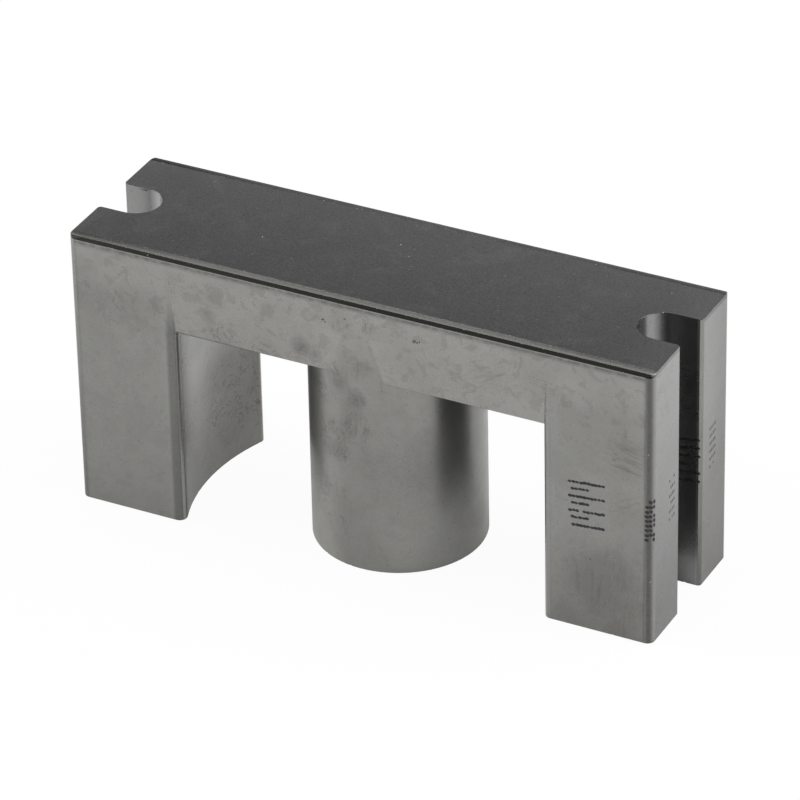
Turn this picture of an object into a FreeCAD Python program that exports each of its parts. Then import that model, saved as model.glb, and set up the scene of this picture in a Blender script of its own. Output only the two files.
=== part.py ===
import FreeCAD, Part
import os
from math import sqrt

# One half of a slotted E core with a round centre leg, pressed and sintered in one piece
# from manganese-zinc ferrite. Lengths are in millimetres.
# The core stands on its pole faces: the origin is the middle of the mating plane, on the
# axis of the centre leg. +X runs along the core, +Y across it, +Z up to the ground back.

# Overall block
core_length = 40.6
core_width = 11.37
core_height = 19.5

# Winding space: an annular channel round the centre leg, open at both long faces
window_height = 14.0
window_diameter = 27.6
centre_leg_diameter = 11.36

# Clamp slots in both ends, open over the whole height, with a round bottom
slot_width = 3.25
slot_depth = 3.5

# Roundings that the press tool leaves on upright edges
corner_radius = 0.5
slot_mouth_radius = 0.25
leg_edge_radius = 0.5

# Draft on the long faces of the yoke, between the legs and over its lower part only
draft_height = 3.3
draft_inset = 0.28
underside_edge_radius = 0.12

# How much the root of the centre leg leans in where it runs up into the drafted yoke
leg_root_inset = 0.005

# Two narrow facets along each long edge of the back: a shallow one that the grinding of
# the back has left lower, then the steep one that breaks the edge
shallow_facet_run = 0.48
shallow_facet_drop = 0.045
steep_facet_run = 0.19
steep_facet_drop = 0.19

# How far a cutting shape reaches past the surface that it cuts
cut_over = 1.0

half_length = core_length / 2
half_width = core_width / 2
slot_bottom = half_length - slot_depth
window_radius = window_diameter / 2


def vector(x, y, z):
    return FreeCAD.Vector(x, y, z)


def upright_cylinder(diameter, x, bottom, top):
    return Part.makeCylinder(diameter / 2, top - bottom, vector(x, 0, bottom))


def profile_face(points, x):
    """A flat face across the core at x, from (y, z) points."""
    corners = [vector(x, y, z) for y, z in points]
    return Part.Face(Part.makePolygon(corners + corners[:1]))


def upright_edges_at(shape, places):
    """The edges of a prism that stand upright over the given (x, y) places."""
    found = []
    for edge in shape.Edges:
        first = edge.Vertexes[0].Point
        last = edge.Vertexes[-1].Point
        if (first - last).Length < core_height / 2:
            continue
        for x, y in places:
            if (vector(first.x, first.y, 0) - vector(x, y, 0)).Length < 1e-4:
                found.append(edge)
    return found


def end_slot():
    """The clamp slot of the +X end, with its round bottom."""
    round_centre = slot_bottom + slot_width / 2
    bottom = -cut_over
    top = core_height + cut_over
    round_bottom = upright_cylinder(slot_width, round_centre, bottom, top)
    corner = vector(round_centre, -slot_width / 2, bottom)
    run = half_length + cut_over - round_centre
    straight = Part.makeBox(run, slot_width, top - bottom, corner)
    return round_bottom.fuse(straight).removeSplitter()


def outer_leg():
    """The +X end of the core: an outer leg and the end of the yoke above it."""
    start = vector(0, -half_width, 0)
    block = Part.makeBox(half_length, core_width, core_height, start)
    bore = upright_cylinder(window_diameter, 0, -cut_over, core_height + cut_over)
    leg = block.cut(bore).cut(end_slot())
    inner = sqrt(window_radius ** 2 - half_width ** 2)
    inner_edges = upright_edges_at(leg, [(inner, side * half_width) for side in (-1, 1)])
    leg = leg.makeFillet(leg_edge_radius, inner_edges)
    corners = upright_edges_at(leg, [(half_length, side * half_width) for side in (-1, 1)])
    leg = leg.makeFillet(corner_radius, corners)
    mouth = upright_edges_at(leg, [(half_length, side * slot_width / 2) for side in (-1, 1)])
    return leg.makeFillet(slot_mouth_radius, mouth)


def yoke_bar():
    """The yoke between the outer legs, with drafted long faces over its lower part."""
    reach = (window_radius + slot_bottom) / 2
    foot = half_width - draft_inset
    shoulder = window_height + draft_height
    points = [
        (-foot, window_height),
        (foot, window_height),
        (half_width, shoulder),
        (half_width, core_height),
        (-half_width, core_height),
        (-half_width, shoulder),
    ]
    bar = profile_face(points, -reach).extrude(vector(2 * reach, 0, 0))
    edges = []
    for edge in bar.Edges:
        middle = edge.CenterOfMass
        if abs(abs(middle.y) - foot) < 1e-4 and abs(middle.z - window_height) < 1e-4:
            edges.append(edge)
    return bar.makeFillet(underside_edge_radius, edges)


def centre_leg():
    """The round centre leg, with a root that runs up into the drafted yoke."""
    radius = centre_leg_diameter / 2
    leg = upright_cylinder(centre_leg_diameter, 0, 0, window_height)
    foot = vector(0, 0, window_height)
    root = Part.makeCone(radius, radius - leg_root_inset, draft_height, foot)
    return leg.fuse(root)


def back_edge_facets(side):
    """What the two facets take off the long edge of the back on one side."""
    steep_foot = core_height - shallow_facet_drop - steep_facet_drop
    top = core_height + shallow_facet_drop
    points = [
        (half_width + cut_over, steep_foot),
        (half_width, steep_foot),
        (half_width - steep_facet_run, core_height - shallow_facet_drop),
        (half_width - steep_facet_run - shallow_facet_run, core_height),
        (half_width - steep_facet_run - 2 * shallow_facet_run, top),
        (half_width + cut_over, top),
    ]
    section = profile_face([(side * y, z) for y, z in points], -half_length - cut_over)
    return section.extrude(vector(core_length + 2 * cut_over, 0, 0))


def ferrite_core():
    right = outer_leg()
    left = right.mirror(vector(0, 0, 0), vector(1, 0, 0))
    core = yoke_bar().fuse([right, left, centre_leg()]).removeSplitter()
    for side in (-1, 1):
        core = core.cut(back_edge_facets(side))
    return core.removeSplitter()


os.makedirs("parts", exist_ok=True)
ferrite_core().exportStep("parts/ferrite_core.step")
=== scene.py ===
"""A sintered ferrite core half with a round centre leg, dressed and lit for a studio picture."""

import math
from functools import partial, reduce

import bmesh
import bpy
from bpy.props import FloatProperty, FloatVectorProperty, IntProperty, PointerProperty
from bpy.types import Operator, Panel, PropertyGroup
from mathutils import Matrix, Vector


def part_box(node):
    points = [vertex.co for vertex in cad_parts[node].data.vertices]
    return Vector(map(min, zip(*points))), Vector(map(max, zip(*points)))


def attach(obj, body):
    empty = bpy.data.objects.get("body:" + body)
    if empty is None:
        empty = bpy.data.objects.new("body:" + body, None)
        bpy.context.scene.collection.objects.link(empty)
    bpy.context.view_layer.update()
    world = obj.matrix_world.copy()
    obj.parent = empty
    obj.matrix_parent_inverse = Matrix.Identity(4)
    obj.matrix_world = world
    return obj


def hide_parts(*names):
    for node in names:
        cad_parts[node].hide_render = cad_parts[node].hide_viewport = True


bl_info = {
    "name": "Ferrite Core Half",
    "version": (1, 0, 0),
    "blender": (4, 5, 0),
    "location": "3D Viewport > Sidebar > Ferrite Core",
    "description": "Builds the fired and ground surface of a ferrite core half and its studio",
    "category": "Object",
}

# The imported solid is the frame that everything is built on
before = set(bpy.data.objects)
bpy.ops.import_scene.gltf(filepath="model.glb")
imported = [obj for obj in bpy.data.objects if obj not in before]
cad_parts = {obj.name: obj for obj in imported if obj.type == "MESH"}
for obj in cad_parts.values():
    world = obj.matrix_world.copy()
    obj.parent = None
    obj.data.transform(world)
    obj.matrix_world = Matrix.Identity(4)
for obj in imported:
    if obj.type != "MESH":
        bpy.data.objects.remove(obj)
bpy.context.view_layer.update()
CORE_NODE = "ferrite_core"
BODY = "root"

# Tables, patterns and mesh work are in millimetres
MM = 0.001
CORE_LOW, CORE_HIGH = (Vector(corner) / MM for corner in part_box(CORE_NODE))
HALF_LENGTH, HALF_WIDTH, BACK_LEVEL = CORE_HIGH

# Edges of the clean mesh, told apart by the angle between their faces
SHARP_CORNER = math.radians(60)
CREASE = math.radians(1)
CURVE_STEP = math.radians(12)
CHIP_RIDGE = math.radians(22)
FACET_STEP = math.radians(4)
FOOT_STEP = math.radians(10)
FLAT = math.radians(0.2)

# Material slots of the core, in order
SKIN, GROUND, WORN, CORNER, EDGE, STEEP, SHALLOW, SMOOTH, FRACTURE = range(9)
SLOT_FINISHES = ("skin", "ground", "worn", "corner", "edge", "steep", "shallow", "smooth")

# Refractive indices of the dense ferrite and of the dry ink
FERRITE_IOR = 2.5
INK_IOR = 1.45

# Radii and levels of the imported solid
CENTRE_LEG_RADIUS = 5.68
WINDOW_RADIUS = 13.8
SLOT_RADIUS = 1.625
SLOT_CENTRE = 18.425
YOKE_UNDERSIDE = 14.0
FACET_FOOT = 19.265
ARCH_TOP = 17.2

# Upright round surfaces of the core, taken in the quarter where x and y are positive:
# (x, y) of the axis, radius, 1 if it bulges or -1 if it is hollow, and the highest z
ROUNDS = (
    ((0.0, 0.0), CENTRE_LEG_RADIUS, 1, 17.35),
    ((0.0, 0.0), WINDOW_RADIUS, -1, 14.1),
    ((SLOT_CENTRE, 0.0), SLOT_RADIUS, -1, BACK_LEVEL),
    ((19.80, 5.185), 0.50, 1, BACK_LEVEL),
    ((13.327, 5.185), 0.50, 1, 17.35),
    ((20.05, 1.875), 0.25, 1, BACK_LEVEL),
)

# How far the middle of a face on a round surface may be off it, and a corner of the face,
# how much an upright face may lean, and how well its direction fits the round surface
NEAR_ROUND = 0.06
ON_ROUND = 0.03
LEAN = 0.02
FIT = 0.97

# Single chips and pits of the front, as (x, y, z, radius) in millimetres
PLACED_CHIPS = (
    (20.02, -5.66, 13.81, 0.06),
    (20.20, -5.57, 4.60, 0.10),
    (20.26, -5.49, 4.20, 0.07),
    (20.23, -5.53, 16.30, 0.06),
    (-14.55, -5.60, 19.40, 0.055),
    (-2.16, -5.69, 17.84, 0.10),
    (-2.02, -5.68, 17.70, 0.06),
    (-0.64, -5.68, 18.22, 0.07),
    (4.17, -5.69, 17.86, 0.12),
    (4.36, -5.68, 17.80, 0.07),
    (4.52, -5.68, 17.88, 0.06),
    (14.50, -5.69, 9.10, 0.06),
    (16.10, -5.68, 5.20, 0.06),
)

# The stones that cut them: their shape, and how each is turned further than the last one
STONE_SHAPE = (1.0, 0.75, 1.3, 1.0)
STONE_AXIS = Vector((0.3, 0.5, 0.8)).normalized()
STONE_TURN = 1.7

# Directions of the rub strokes on the long faces, in degrees from +X towards +Z
STROKE_TURNS = {"upright": 86, "steep": -58, "level": -12, "rising": 30}

# Rubbed places, with a wide smear of painted shade over the right end: (x, y, z), reach,
# direction of the strokes, their strength and the smear's
RUB_AND_SHADE_PATCHES = (
    ((-1.6, -5.5, 13.9), 1.2, "steep", 0.95, 0.55),
    ((-0.3, -5.6, 14.9), 1.4, "upright", 0.55, 0.30),
    ((0.0, -5.6, 12.5), 0.9, "steep", 0.95, 0.40),
    ((-0.2, -5.6, 10.6), 1.5, "upright", 0.75, 0.55),
    ((-1.8, -5.3, 9.2), 2.2, "upright", 0.35, 0.70),
    ((-2.6, -5.2, 12.2), 1.6, "level", 0.20, 0.65),
    ((-2.2, -5.3, 4.0), 3.0, "upright", 0.12, 0.45),
    ((0.9, -5.6, 18.1), 0.8, "upright", 0.95, 0.40),
    ((-0.9, -5.6, 17.7), 1.0, "upright", 0.30, 0.60),
    ((-3.6, -5.5, 14.9), 1.3, "level", 0.70, 0.60),
    ((-10.2, -5.6, 17.2), 1.6, "level", 0.50, 0.45),
    ((-12.6, -5.6, 17.8), 1.3, "rising", 0.45, 0.35),
    ((-17.0, -5.6, 15.2), 1.8, "upright", 0.15, 0.40),
    ((9.2, -5.6, 16.9), 1.9, "rising", 0.60, 0.25),
    ((6.6, -5.6, 16.0), 1.4, "level", 0.50, 0.20),
    ((12.6, -5.6, 16.6), 1.7, "level", 0.50, 0.40),
    ((18.6, -5.6, 13.2), 1.9, "level", 0.95, 0.60),
    ((18.3, -5.6, 9.4), 1.8, "rising", 0.60, 0.35),
    ((16.8, -5.6, 4.0), 3.4, "upright", 0.50, 0.75),
    ((19.0, -5.6, 1.4), 2.6, "upright", 0.35, 0.80),
    # A wide smear over the right end, painted shade darker towards the rear prong
    ((20.3, 3.9, 4.0), 7.5, "upright", 0.05, 0.95),
    ((-12.6, 2.5, 4.5), 5.0, "upright", 0.05, 0.80),
    ((-9.5, -5.5, 14.2), 2.0, "level", 0.25, 0.70),
    ((-6.4, -5.5, 14.2), 1.6, "level", 0.35, 0.75),
)

# Soft changes of the skin's tone, partly painted shade and partly smudges: (x, y, z), reach,
# and the change
SHADE_AND_SMUDGE_PATCHES = (
    ((2.6, -5.0, 7.2), 4.4, -0.10),
    ((17.6, -5.7, 3.8), 4.2, -0.11),
    ((-19.2, -5.7, 16.4), 2.6, -0.06),
    ((12.4, -5.7, 18.4), 2.2, -0.08),
    ((-1.3, -5.5, 13.5), 1.1, -0.12),
    ((0.0, -5.7, 12.7), 0.9, -0.10),
    ((-0.3, -5.7, 11.7), 1.2, -0.08),
    ((0.5, -5.7, 14.9), 0.9, -0.10),
    ((-0.8, -5.6, 10.2), 1.1, -0.08),
    ((-1.7, -5.4, 8.3), 1.2, -0.14),
    ((-2.9, -4.9, 5.6), 1.3, -0.12),
    ((-9.8, -5.7, 17.5), 0.8, -0.16),
    ((-10.4, -5.7, 15.9), 0.7, -0.14),
    ((-6.1, -5.7, 17.5), 0.7, -0.16),
    ((-3.9, -5.6, 15.4), 1.0, -0.20),
    ((-2.8, -5.6, 15.0), 0.6, -0.16),
)

# The tone tables below are painted light and shade in the skin's colour.
# Changes of tone by place. The terms of a table are added up, and a term is the product of its
# factors. A factor is a smooth ramp (axis, low, high) from 0 to 1, a ramp (axis, low, high,
# start, end) between other values, a limit (axis, "above" or "below", level), a number, or the
# name of a mask. Aside and side are the distances from the middle of the length and width.
# Places are in millimetres, and a tone is a share of the strength of the skin's colour.
LEFT = ("x", "below", 0.0)
RIGHT = ("x", "above", 0.0)
ON_LONG_FACE = ("side", "above", HALF_WIDTH - 0.1)
ON_END = ("aside", "above", HALF_LENGTH - 0.03)
BESIDE_WINDOW = ("aside", "below", 16.0)
BESIDE_SLOT = ("aside", "above", 16.0)
OVER_LEG = ("aside", 12.2, 14.2)
UP_THE_YOKE = ("z", YOKE_UNDERSIDE, YOKE_UNDERSIDE + 2.6, 1.0, 0.0)
LESS_ON_LEFT = ("x", -1.0, 1.0, 0.42, 1.0)

# Painted shade on the upright corners, a dark reflection next to the long faces, and its dark top
# beside the facets
CORNER_PAINTED_SHADE = (
    (("aside", 19.60, 20.00), ("side", 5.32, 5.60), LESS_ON_LEFT, "Corner Change"),
    (("z", 19.18, 19.28, 0.0, -0.40), ("aside", 19.70, 19.85), LESS_ON_LEFT),
)

# Painted shade on the worn rims of the clamp slots, stronger along the rear walls
RIM_PAINTED_SHADE = (
    (("z", 19.35, 19.45), ("side", 1.75, 2.00, 1.0, 0.0), ("y", -0.8, 0.6, -0.10, -0.55)),
)

# Steep facet: its painted dark reflection is taken back along the rear edge, which stays light
STEEP_FACET_LIFT = ((("y", -1.0, 1.0, 0.0, 5.5),),)

# Shallow facet: painted shade towards the left end, a painted highlight along its outer edge,
# and painted shade along its inner edge near both ends
SHALLOW_FACET_LIGHT_AND_SHADE = (
    (("x", -20.0, -12.5, -0.34, 0.0),),
    (("z", 19.457, 19.480, 0.20, -0.04),),
    (("z", 19.474, 19.486, 0.0, -0.24), ("aside", 9.0, 15.0)),
)

# Painted light and shade on the rounded edges: those of the left leg, of the right leg, of the
# yoke's underside and of the slot mouths
EDGE_PAINTED_LIGHT_AND_SHADE = (
    (("aside", 12.885, 12.925, 0.30, -0.38), LEFT, UP_THE_YOKE, BESIDE_WINDOW),
    (("aside", 13.02, 13.14, 0.50, 0.06), RIGHT, UP_THE_YOKE, BESIDE_WINDOW),
    (
        ("z", YOKE_UNDERSIDE - 0.04, YOKE_UNDERSIDE),
        ("x", -10.5, -6.0, -0.80, -0.16),
        ("aside", 12.70, 12.85, 1.0, 0.0),
        UP_THE_YOKE,
        BESIDE_WINDOW,
    ),
    (("z", -6.0, 22.0, -0.36, 0.04), BESIDE_SLOT),
)

# Painted light and shade in the clamp slots: the left wall and round bottom, then the right slot's
# rear turn, wall and mouth
SLOT_PAINTED_LIGHT_AND_SHADE = (
    (("aside", 18.45, 19.00, -0.14, -0.06), LEFT),
    (("aside", 17.30, 18.45, 0.57, 0.0), LEFT),
    (("y", 1.00, 1.35, -0.04, -0.36), RIGHT),
    (("aside", 18.00, 18.40), ("aside", 18.40, 20.00, -0.24, 0.06), ("y", "above", 1.2), RIGHT),
    (("aside", 19.90, 20.02), ("y", -1.0, 1.0, 0.50, 0.80), ("z", 0.0, 7.0, 0.2, 1.0), RIGHT),
)

# Painted light and shade on the fired skin
SKIN_PAINTED_LIGHT_AND_SHADE = (
    # Outer legs, painted shade: the long faces under the yoke, the right foot and the strip by
    # the window
    (("z", 15.4, 17.8, -0.14, -0.02), OVER_LEG, ON_LONG_FACE),
    (("z", 0.0, 9.0, -0.10, 0.0), ("x", -5.0, 15.0), OVER_LEG, ON_LONG_FACE),
    (
        ("aside", 13.30, 13.58, 1.0, 0.0),
        ("aside", "above", 12.0),
        ("side", 5.45, 5.62),
        ("z", YOKE_UNDERSIDE - 0.5, YOKE_UNDERSIDE + 2.0, 1.0, 0.0),
        ("x", -5.0, 5.0, -0.34, -0.08),
    ),
    # Ends, painted shade: darker towards the foot and on the rear prong
    (("z", -6.0, 22.0, -0.30, 0.10), ON_END),
    (("y", -1.0, 1.0, 0.0, -0.16), ("z", 2.0, 10.0, 0.4, 1.0), ON_END),
    (("y", 1.8, 5.4, 0.08, -0.12), ("y", 0.0, 0.5), ("z", 4.0, 10.0, 0.4, 1.0), ON_END),
    # Centre leg: painted light and painted shade on the left, painted light at the foot, painted
    # shade below the arch, and a painted highlight on the yoke beside the arch
    (("x", -2.4, -0.8, 0.26, 0.0), "On Leg"),
    (("x", -4.6, -3.3, -0.44, 0.0), ("z", 4.0, 8.5), "On Leg"),
    (("x", -3.4, -1.6, 0.26, 0.0), ("z", 0.5, 4.0, 0.3, 1.0), ("z", 4.0, 7.0, 1.0, 0.0), "On Leg"),
    (("x", 0.5, 3.0, 0.0, 0.12), ("z", 1.0, 8.0, 1.0, 0.0), "On Leg"),
    (("z", 13.0, ARCH_TOP, -0.12, -0.02), "On Leg"),
    (0.07, "Beside Leg"),
    # Hollows of the outer legs, painted light and shade: the front edge, the lower half, the foot
    # and the rear
    (("y", -5.1, -4.15, 1.0, 0.0), ("x", -5.0, 5.0, -0.64, -0.10), "In Hollow"),
    (("z", 7.2, 10.2, -0.19, 0.0), "In Hollow"),
    (("z", 0.5, 3.0, 0.06, 0.0), "In Hollow"),
    (("y", -2.5, 3.5, 0.05, -0.10), ("z", 8.0, 10.5, 1.0, 0.0), "In Hollow"),
)

# Printed tick rows: centre, facing, strokes, dots in a stroke, dot pitch, stroke pitch, lean of
# a stroke, dot radius, share printed and ink
PRINT_PATCHES = {
    "front_long": ((15.85, -5.67, 9.1), (0, -1, 0), 4, 10, 0.25, 1.04, 0.02, 0.12, 0.97, "ink"),
    "front_short": ((15.40, -5.67, 9.1), (0, -1, 0), 3, 5, 0.25, 1.04, 0.02, 0.12, 0.97, "ink"),
    "corner": ((20.14, -5.54, 9.0), (0.7, -0.7, 0), 9, 3, 0.24, 0.34, 0.0, 0.13, 0.85, "ink"),
    "end_front": ((20.30, -2.80, 9.2), (1, 0, 0), 6, 4, 0.22, 0.56, 0.03, 0.09, 0.85, "thin_ink"),
    "end_rear": ((20.30, 3.30, 9.6), (1, 0, 0), 6, 4, 0.24, 0.56, 0.03, 0.10, 0.90, "thin_ink"),
    "slot_wall": ((19.50, 1.63, 9.2), (0, -1, 0), 6, 6, 0.24, 0.60, 0.03, 0.12, 0.95, "ink"),
}

# Brightness of the surroundings by height, from the horizon up to straight overhead
SKY_LEVELS = (
    (0.49, 1.0),
    (0.505, 0.03),
    (0.60, 0.05),
    (0.70, 0.15),
    (0.80, 0.28),
    (0.90, 0.9),
    (1.0, 1.2),
)

# Places of the lamps in metres, and the width of the sky that each fills
LEFT_LAMP_PLACE = (-0.90, -0.35, 0.55)
RIGHT_LAMP_PLACE = (0.85, 0.35, 0.55)
LAMP_WIDTH = math.radians(50)

# What the camera aims at: a height over the floor, and its shift across and up the picture
AIM_HEIGHT = 10.0 * MM
AIM_ACROSS = 0.127 * MM
AIM_UP = -0.514 * MM
SENSOR_WIDTH = 36.0

# What the kinds of settings have in common
LENGTH = {"min": 0.0, "subtype": "DISTANCE", "unit": "LENGTH"}
SHARE = {"min": 0.0, "max": 1.0, "subtype": "FACTOR"}
COLOUR = {"size": 3, "min": 0.0, "max": 1.0, "subtype": "COLOR"}
TURN = {"subtype": "ANGLE", "unit": "ROTATION"}

# How the tone tables name their limits
LIMITS = {"above": "GREATER_THAN", "below": "LESS_THAN"}

# The inputs of the print tree that a patch gives, in its order
PATCH_INPUTS = ("Centre", "Facing", "Strokes", "Dots", "Dot Pitch", "Stroke Pitch", "Lean")
PATCH_INPUTS += ("Dot Radius", "Share")

# Sockets of the node groups
ORIGIN = (0.0, 0.0, 0.0)
GEOMETRY = "NodeSocketGeometry"
SOCKET_TYPES = {float: "NodeSocketFloat", int: "NodeSocketInt", tuple: "NodeSocketVector"}

# Levels at the back: leaning faces over the first are facets, and the foot of the steep one
# lies between the others
FACET_ZONE = 18.0
FOOT_LEVELS = (18.9, 19.3)


class CoreSettings(PropertyGroup):
    """Edges, chips and pits of the core."""

    edge_softening: FloatProperty(
        name="Edge Softening",
        description="Width of the narrow break on the sharp edges",
        default=0.04 * MM,
        **LENGTH,
    )
    chip_spacing: FloatProperty(
        name="Chip Spacing",
        description="Distance between the places along an edge where a chip may sit",
        default=0.55 * MM,
        **LENGTH,
    )
    chip_share: FloatProperty(
        name="Chip Share",
        description="Share of those places that carry a chip",
        default=0.42,
        **SHARE,
    )
    smallest_chip: FloatProperty(
        name="Smallest Chip",
        description="Radius of the smallest chips",
        default=0.03 * MM,
        **LENGTH,
    )
    largest_chip: FloatProperty(
        name="Largest Chip",
        description="Radius of the largest chips",
        default=0.16 * MM,
        **LENGTH,
    )
    pit_density: FloatProperty(
        name="Pit Density",
        description="Number of open pores on a square millimetre",
        default=0.045,
        min=0.0,
    )
    seed: IntProperty(
        name="Seed",
        description="Start of the random places of chips and pits",
        default=7,
    )


class FinishSettings(PropertyGroup):
    """Colours and gloss of the core's surfaces."""

    skin_colour: FloatVectorProperty(
        name="Fired Skin",
        description="Colour of the pressed and fired skin",
        default=(0.292, 0.290, 0.276),
        **COLOUR,
    )
    smear_colour: FloatVectorProperty(
        name="Smear",
        description="Brownish colour of the smeared patches of the skin",
        default=(0.290, 0.276, 0.260),
        **COLOUR,
    )
    ground_colour: FloatVectorProperty(
        name="Ground Face",
        description="Colour of the ground back and pole faces",
        default=(0.225, 0.224, 0.227),
        **COLOUR,
    )
    fracture_colour: FloatVectorProperty(
        name="Fracture",
        description="Colour of the fresh faces in chips and pits",
        default=(0.34, 0.34, 0.34),
        **COLOUR,
    )
    ink_colour: FloatVectorProperty(
        name="Ink",
        description="Colour of the printed dots",
        default=(0.006, 0.006, 0.007),
        **COLOUR,
    )
    # Corner Shade darkens the rounded corners, mostly of the right end, as a painted dark
    # reflection
    corner_shade: FloatProperty(
        name="Corner Shade",
        description="Strength of the skin's colour on the dirty rounded corners of the right end",
        default=0.36,
        **SHARE,
    )
    # Edge Shade darkens the other rounded edges as painted shade
    edge_shade: FloatProperty(
        name="Edge Shade",
        description="Strength of the skin's colour on the other rounded edges",
        default=0.90,
        **SHARE,
    )
    # Facet Shade darkens the steep facet along the back into a painted dark reflection
    facet_shade: FloatProperty(
        name="Facet Shade",
        description="Strength of the skin's colour on the steep facet along the back",
        default=0.06,
        **SHARE,
    )
    lustre: FloatProperty(
        name="Lustre",
        description="How close the dense fired ferrite comes to the mirror of a metal",
        default=0.95,
        **SHARE,
    )
    skin_roughness: FloatProperty(
        name="Skin Roughness",
        description="Mean roughness of the fired skin",
        default=0.25,
        **SHARE,
    )
    ground_roughness: FloatProperty(
        name="Ground Roughness",
        description="Mean roughness of the ground faces",
        default=0.34,
        **SHARE,
    )


class PrintSettings(PropertyGroup):
    """The printed dots."""

    ink_thickness: FloatProperty(
        name="Ink Thickness",
        description="Height of a dried dot over the surface",
        default=0.005 * MM,
        **LENGTH,
    )
    dot_spread: FloatProperty(
        name="Dot Spread",
        description="How far a dot may land beside its place",
        default=0.022 * MM,
        **LENGTH,
    )
    seed: IntProperty(
        name="Seed",
        description="Start of the random places of the dots",
        default=3,
    )


class StudioSettings(PropertyGroup):
    """Floor, lamps, surroundings and camera."""

    floor_size: FloatProperty(
        name="Floor Size",
        description="Side of the square floor",
        default=6.0,
        **LENGTH,
    )
    floor_colour: FloatVectorProperty(
        name="Floor Colour",
        description="Colour of the pale floor",
        default=(0.93, 0.93, 0.93),
        **COLOUR,
    )
    floor_white: FloatProperty(
        name="Floor White",
        description="Share of plain white in the floor as the camera sees it",
        default=0.95,
        **SHARE,
    )
    reflected_white: FloatProperty(
        name="Reflected White",
        description="Share of plain white in the floor as reflections see it",
        default=0.32,
        **SHARE,
    )
    left_lamp: FloatProperty(
        name="Left Lamp",
        description="Irradiance of the soft lamp on the left, in watts on a square metre",
        default=1.45,
        min=0.0,
    )
    right_lamp: FloatProperty(
        name="Right Lamp",
        description="Irradiance of the soft lamp on the right, in watts on a square metre",
        default=1.75,
        min=0.0,
    )
    camera_azimuth: FloatProperty(
        name="Camera Azimuth",
        description="Turn of the camera round the core from the front face",
        default=math.radians(27.558),
        **TURN,
    )
    camera_elevation: FloatProperty(
        name="Camera Elevation",
        description="Height of the camera over the floor, as an angle",
        default=math.radians(31.502),
        **TURN,
    )
    camera_roll: FloatProperty(
        name="Camera Roll",
        description="Turn of the picture about the line of sight",
        default=math.radians(-1.256),
        **TURN,
    )
    camera_distance: FloatProperty(
        name="Camera Distance",
        description="Distance from the camera to the point it looks at",
        default=349.65 * MM,
        **LENGTH,
    )
    camera_lens: FloatProperty(
        name="Camera Lens",
        description="Focal length on a sensor 36 mm wide",
        default=248.735,
        subtype="DISTANCE_CAMERA",
    )


def millimetres(length):
    """A length of the settings, which are in metres, in the workshop unit."""
    return length / MM


def feed(tree, made, inputs):
    """Set or link the inputs of a node."""
    for key, value in inputs.items():
        socket = made.inputs[key]
        if isinstance(value, bpy.types.NodeSocket):
            tree.links.new(value, socket)
        else:
            socket.default_value = value
    return made


def node(tree, kind, inputs=None, **settings):
    """Add a node, set its options, and set or link its inputs."""
    made = tree.nodes.new(kind)
    for name, value in settings.items():
        setattr(made, name, value)
    return feed(tree, made, inputs or {})


def math_node(tree, operation, *values):
    """A Math node's result."""
    return node(tree, "ShaderNodeMath", dict(enumerate(values)), operation=operation).outputs[0]


def vector_node(tree, operation, *vectors, result="Vector"):
    """A Vector Math node's result: a vector, or the Value of a length or a dot product."""
    made = node(tree, "ShaderNodeVectorMath", dict(enumerate(vectors)), operation=operation)
    return made.outputs[result]


def scaled(tree, vector, scale):
    """A vector made longer or shorter."""
    inputs = {0: vector, "Scale": scale}
    return node(tree, "ShaderNodeVectorMath", inputs, operation="SCALE").outputs["Vector"]


def combined(tree, operation, values):
    """Several values brought together by one operation."""
    return reduce(partial(math_node, tree, operation), values)


def product(tree, *factors):
    """The product of several values."""
    return combined(tree, "MULTIPLY", factors)


def ramp(tree, value, low, high, start=0.0, end=1.0):
    """Map a value smoothly from low..high to start..end."""
    inputs = {"Value": value, "From Min": low, "From Max": high, "To Min": start, "To Max": end}
    made = node(tree, "ShaderNodeMapRange", inputs, interpolation_type="SMOOTHSTEP")
    return made.outputs["Result"]


def new_tree(name, kind, inputs, outputs):
    """A node group, and the sockets that its input node gives.

    An input has its default value here, and an input or output without one its socket type.
    """
    tree = bpy.data.node_groups.new(name, kind)
    for label, default in inputs.items():
        plain = isinstance(default, str)
        socket_type = default if plain else SOCKET_TYPES[type(default)]
        socket = tree.interface.new_socket(label, in_out="INPUT", socket_type=socket_type)
        if not plain:
            socket.default_value = default
    for label, socket_type in outputs.items():
        tree.interface.new_socket(label, in_out="OUTPUT", socket_type=socket_type)
    return tree, tree.nodes.new("NodeGroupInput").outputs


def shader_tree(name, inputs, masks):
    """A shader group that puts out masks or heights."""
    return new_tree(name, "ShaderNodeTree", inputs, dict.fromkeys(masks, "NodeSocketFloat"))


def geometry_tree(name, inputs):
    """A Geometry Nodes group that changes a geometry and gives it a material."""
    inputs = {"Geometry": GEOMETRY, **inputs, "Seed": 1, "Material": "NodeSocketMaterial"}
    return new_tree(name, "GeometryNodeTree", inputs, {"Geometry": GEOMETRY})


def finish_tree(tree, results):
    """Link the results to the group's output node."""
    feed(tree, tree.nodes.new("NodeGroupOutput"), results)
    return tree


def group(tree, shared, inputs):
    """The outputs of a shared shader group placed in a tree."""
    return node(tree, "ShaderNodeGroup", inputs, node_tree=shared).outputs


# Shader groups: each puts out masks or heights for the materials below

def noise(tree, vector, scale, detail=3.0, roughness=0.5, distortion=0.0):
    """A noise value over coordinates in millimetres."""
    inputs = {"Vector": vector, "Scale": scale, "Detail": detail}
    inputs.update({"Roughness": roughness, "Distortion": distortion})
    return node(tree, "ShaderNodeTexNoise", inputs).outputs["Fac"]


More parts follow.
